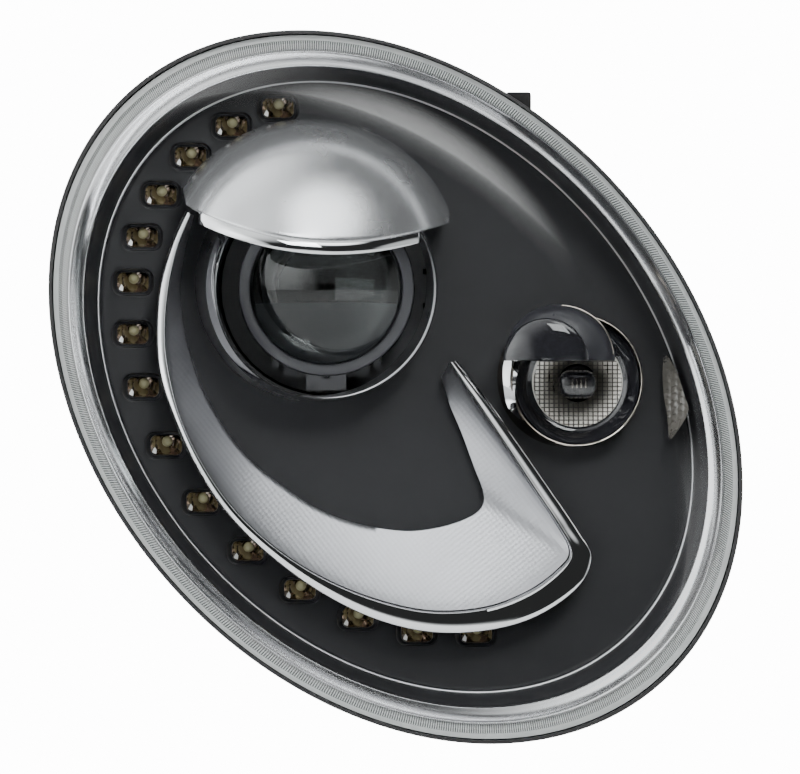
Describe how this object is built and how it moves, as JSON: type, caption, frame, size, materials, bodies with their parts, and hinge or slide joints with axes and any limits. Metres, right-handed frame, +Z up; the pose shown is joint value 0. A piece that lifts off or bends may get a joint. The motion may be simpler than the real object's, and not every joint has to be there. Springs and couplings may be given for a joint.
{
  "type": "car headlight assembly",
  "caption": "Oval car headlight with a projector lamp, satin eyelid and crescent trim, a row of LEDs, a turn lamp and its levelling gear.",
  "frame": {"origin": "centre of the oval outline, on the flat outer face of the housing's rear wall", "axes": "+X outboard, +Y to the rear of the car, +Z up"},
  "size_m": [0.3124, 0.2582, 0.3214],
  "materials": {
    "housing_black": "satin",
    "cover_clear": "gloss",
    "lamp_chrome": "gloss",
    "bezel_black": "satin",
    "satin_silver": "satin",
    "piano_black": "gloss",
    "optic_glass": "gloss",
    "collar_grey": "satin",
    "board_white": "satin",
    "seal_rubber": "matte",
    "zinc_steel": "satin",
    "cast_alloy": "satin",
    "nylon_white": "satin",
    "bulb_amber": "gloss"
  },
  "bodies": {
    "case": {"housing": "housing_black", "outer_lens": "cover_clear", "lens_seal": "seal_rubber", "chrome_ring": "lamp_chrome", "inner_bezel": "bezel_black", "leaf_trim": "satin_silver", "leaf_frame": "lamp_chrome", "led_strip": "board_white", "eyelid": "satin_silver", "eyelid_lip": "lamp_chrome", "projector_ring": "lamp_chrome", "turn_reflector": "lamp_chrome", "turn_ring": "lamp_chrome", "turn_funnel": "piano_black", "turn_eyelid": "piano_black", "turn_bulb_shield": "piano_black", "side_reflector": "lamp_chrome", "levelling_motor": "housing_black", "main_cap_seal": "seal_rubber", "ballast_gasket": "seal_rubber", "ballast": "cast_alloy", "ballast_screw_1": "zinc_steel", "ballast_screw_2": "zinc_steel", "ballast_screw_3": "zinc_steel", "connector": "housing_black", "breather_cap_upper": "seal_rubber", "breather_cap_lower": "seal_rubber", "lug_bush_upper": "zinc_steel", "lug_bush_side": "zinc_steel", "lug_bush_lower": "zinc_steel"},
    "carrier": {"carrier_frame": "housing_black", "tilt_pin_left": "zinc_steel", "tilt_pin_right": "zinc_steel"},
    "projector": {"projector_lens": "optic_glass", "shroud": "collar_grey", "lens_holder": "cast_alloy", "reflector_bowl": "lamp_chrome", "swivel_frame": "cast_alloy", "swivel_pin_top": "zinc_steel", "swivel_pin_bottom": "zinc_steel", "shutter_shaft": "zinc_steel", "shutter_solenoid": "zinc_steel", "xenon_bulb": "optic_glass", "bulb_base": "nylon_white"},
    "shutter": {"shutter_flap": "zinc_steel"},
    "plunger": {"solenoid_plunger": "zinc_steel"},
    "lock_ring": {"bulb_lock_ring": "housing_black"},
    "spindle": {"levelling_spindle": "nylon_white"},
    "aim_screw_vertical": {"vertical_adjuster": "nylon_white"},
    "aim_screw_horizontal": {"horizontal_adjuster": "nylon_white"},
    "push_rod": {"horizontal_push_rod": "zinc_steel"},
    "access_cap": {"main_cap": "housing_black"},
    "turn_holder": {"turn_bulb_holder": "housing_black", "turn_bulb": "bulb_amber"}
  },
  "joints": [
    {"name": "vertical_aim", "type": "hinge", "parent": "case", "child": "carrier", "pos_m": [-0.0316, -0.088, 0.0441], "axis": [1, 0, 0], "range_deg": [-4, 4]},
    {"name": "horizontal_aim", "type": "hinge", "parent": "carrier", "child": "projector", "pos_m": [-0.0316, -0.088, 0.0441], "axis": [0, 0, 1], "range_deg": [-4, 4]},
    {"name": "levelling_drive", "type": "slide", "parent": "case", "child": "spindle", "axis": [0, 1, 0], "range_m": [-0.0051, 0.0051]},
    {"name": "vertical_screw_turn", "type": "hinge", "parent": "case", "child": "aim_screw_vertical", "pos_m": [-0.0056, 0, -0.04], "axis": [0, 1, 0], "range_deg": [-361, 361]},
    {"name": "push_rod_drive", "type": "slide", "parent": "case", "child": "push_rod", "axis": [0, 1, 0], "range_m": [-0.0033, 0.0033]},
    {"name": "horizontal_screw_turn", "type": "hinge", "parent": "case", "child": "aim_screw_horizontal", "pos_m": [0.0144, 0, 0.0441], "axis": [0, 1, 0], "range_deg": [-361, 361]},
    {"name": "beam_shutter", "type": "hinge", "parent": "projector", "child": "shutter", "pos_m": [-0.0316, -0.108, 0.0121], "axis": [1, 0, 0], "range_deg": [0, 30], "stiffness_Nm_per_rad": 0.02, "springref_deg": -22.92},
    {"name": "solenoid_stroke", "type": "slide", "parent": "projector", "child": "plunger", "axis": [0, 1, 0], "range_m": [0, 0.003]},
    {"name": "bulb_lock_turn", "type": "hinge", "parent": "projector", "child": "lock_ring", "pos_m": [-0.0316, -0.044, 0.0441], "axis": [0, 1, 0], "range_deg": [0, 30]},
    {"name": "access_cap_turn", "type": "hinge", "parent": "case", "child": "access_cap", "pos_m": [-0.0316, 0.0027, 0.0441], "axis": [0, 1, 0], "range_deg": [0, 45]},
    {"name": "turn_holder_twist", "type": "hinge", "parent": "case", "child": "turn_holder", "pos_m": [0.082, 0, 0.0015], "axis": [0, 1, 0], "range_deg": [0, 45]}
  ],
  "couplings": [
    {"joint": "levelling_drive", "follows": "vertical_aim", "m_per_rad": 0.0721},
    {"joint": "vertical_screw_turn", "follows": "vertical_aim", "ratio": 90},
    {"joint": "push_rod_drive", "follows": "horizontal_aim", "m_per_rad": 0.046},
    {"joint": "horizontal_screw_turn", "follows": "horizontal_aim", "ratio": 90},
    {"joint": "solenoid_stroke", "follows": "beam_shutter", "m_per_rad": 0.0055}
  ]
}
